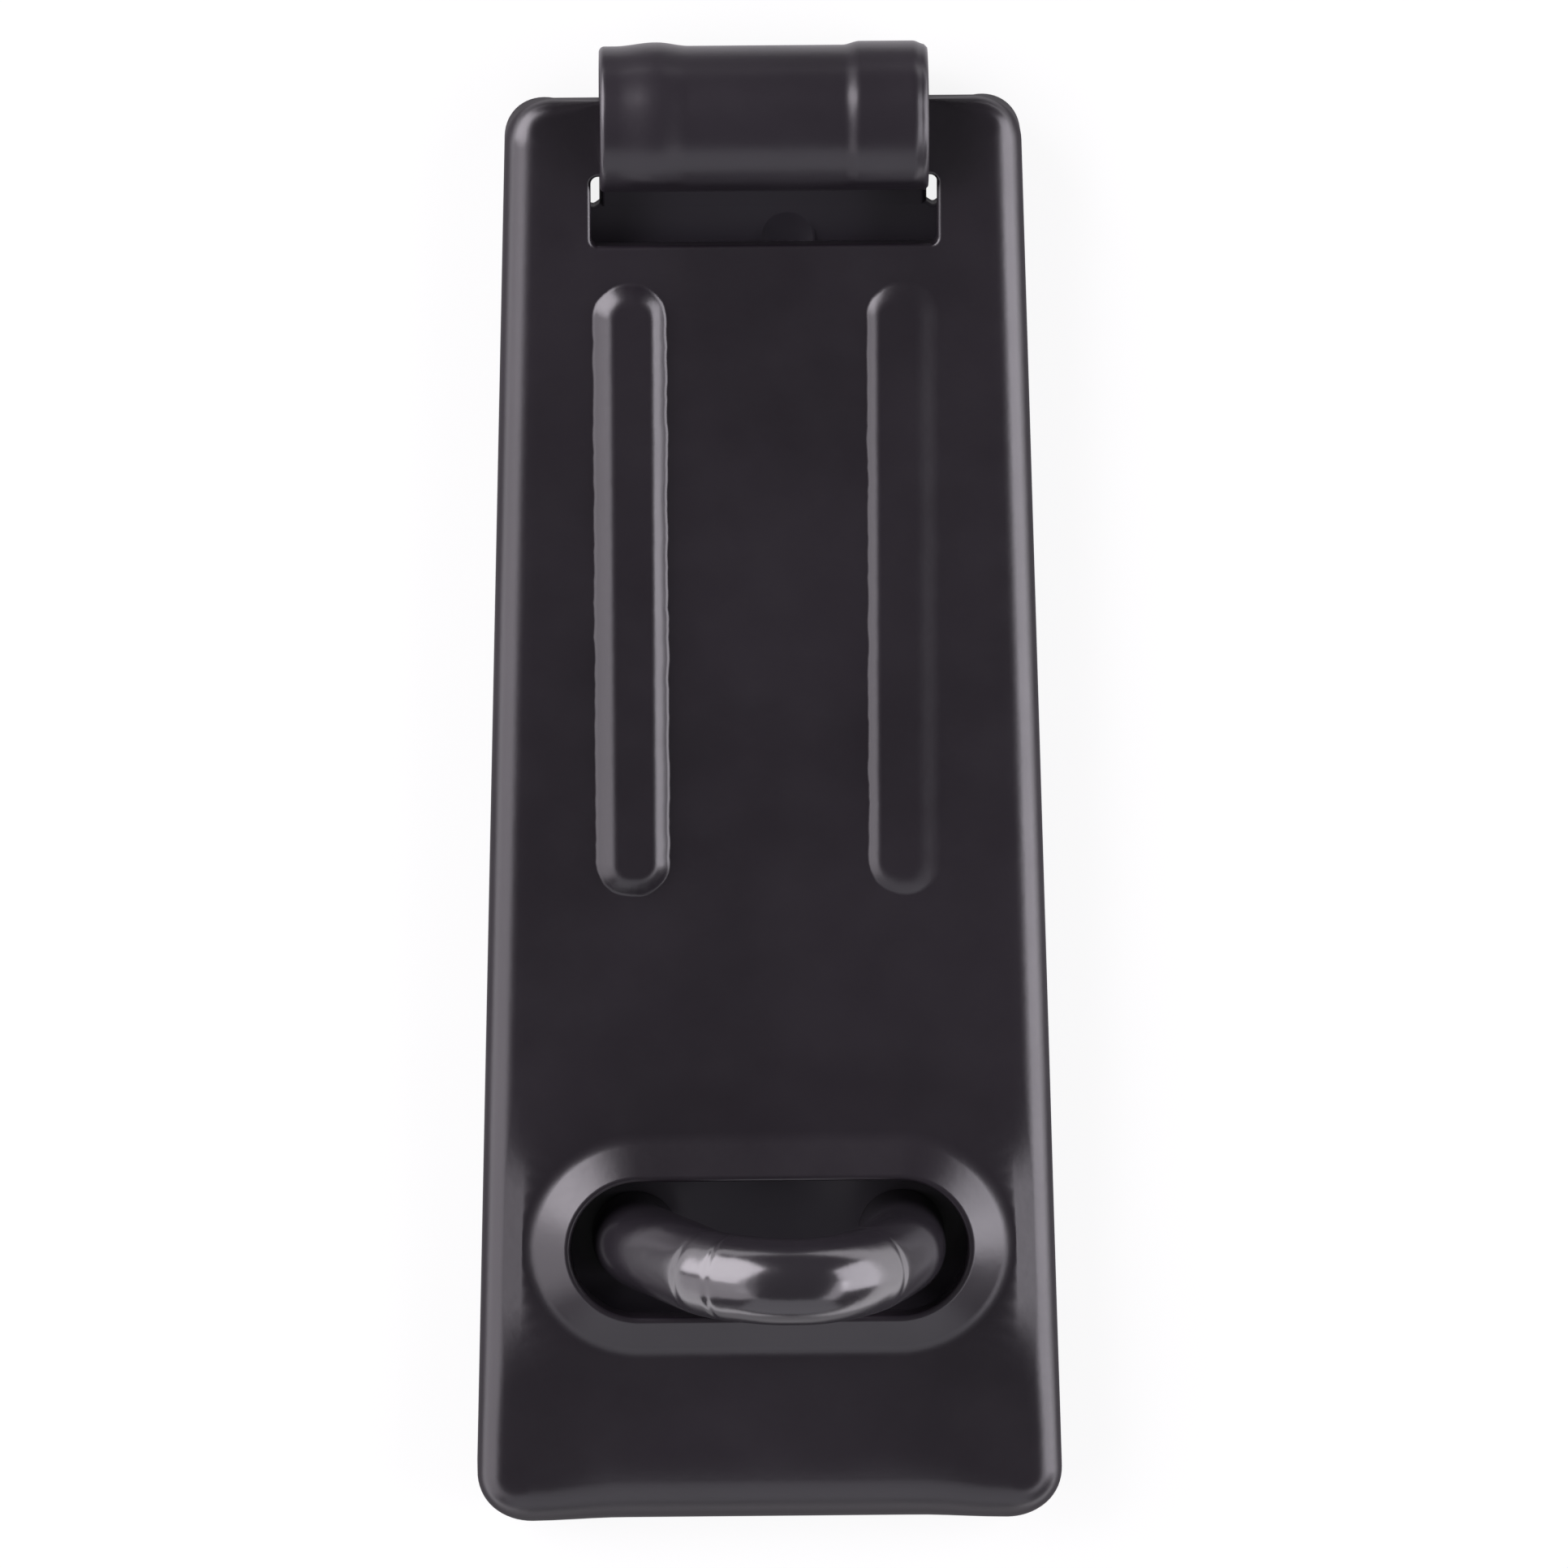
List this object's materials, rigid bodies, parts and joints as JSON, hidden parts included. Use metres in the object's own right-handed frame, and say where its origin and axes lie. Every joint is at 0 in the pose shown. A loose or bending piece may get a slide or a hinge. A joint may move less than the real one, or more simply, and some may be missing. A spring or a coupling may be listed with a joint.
{
  "type": "hasp and staple",
  "caption": "Closed hasp and staple: a pressed steel leaf with long ribs, hung on a rolled strap, and a round-bar staple that stands through its rimmed slot.",
  "frame": {"origin": "in the wall plane behind both screw plates, at the middle of the closed length and width", "axes": "+X across the hasp, +Y along it towards the hinge, +Z out of the door"},
  "size_m": [0.0448, 0.1152, 0.0222],
  "materials": {
    "leaf_coat": "satin black coat on pressed steel",
    "plate_coat": "satin black coat on pressed steel",
    "staple_coat": "semi-gloss black coat on bent steel bar"
  },
  "bodies": {
    "fixed": {"hinge_plate": "plate_coat", "staple_plate": "plate_coat", "staple_loop": "staple_coat"},
    "leaf": {"hasp_leaf": "leaf_coat"}
  },
  "joints": [
    {"name": "leaf_hinge", "type": "hinge", "parent": "fixed", "child": "leaf", "pos_m": [0, 0.0518, 0.0055], "axis": [-1, 0, 0], "range_deg": [0, 180]}
  ]
}
